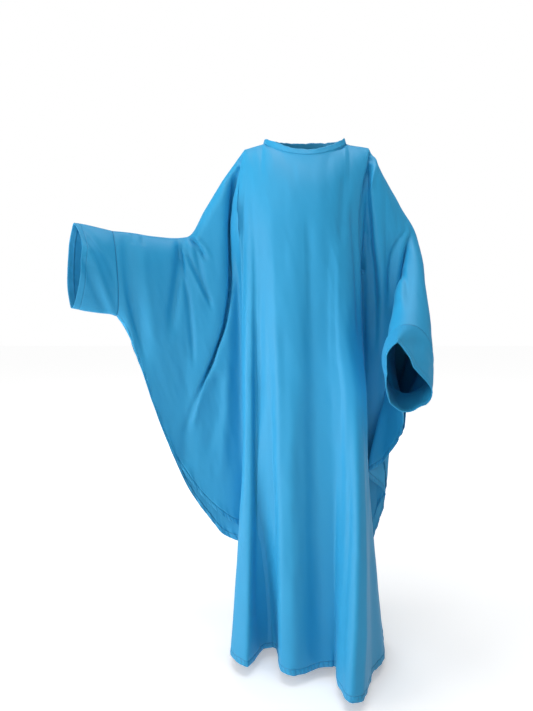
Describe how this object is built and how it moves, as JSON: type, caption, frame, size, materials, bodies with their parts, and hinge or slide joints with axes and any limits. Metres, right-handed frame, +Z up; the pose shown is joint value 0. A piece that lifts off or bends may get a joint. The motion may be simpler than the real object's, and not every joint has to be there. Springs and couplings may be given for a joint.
{
  "type": "butterfly abaya",
  "caption": "Full-length butterfly abaya with wide batwing sleeves, straight cuffs and a low neck band, held in its worn pose with one arm out and the other bent forward.",
  "frame": {"origin": "midway between the side neck points, at the height where the wearer's shoulders carry the cloth", "axes": "+Z up the wearer, -Y out of the wearer's chest, +X towards the wearer's left arm"},
  "size_m": [0.9437, 0.5046, 1.4145],
  "materials": {
    "crepe": "matte azure crepe with a faint soft sheen"
  },
  "bodies": {
    "root": {"front_panel": "crepe", "back_panel": "crepe", "neck_band": "crepe", "right_cuff": "crepe", "left_cuff": "crepe"}
  },
  "joints": []
}
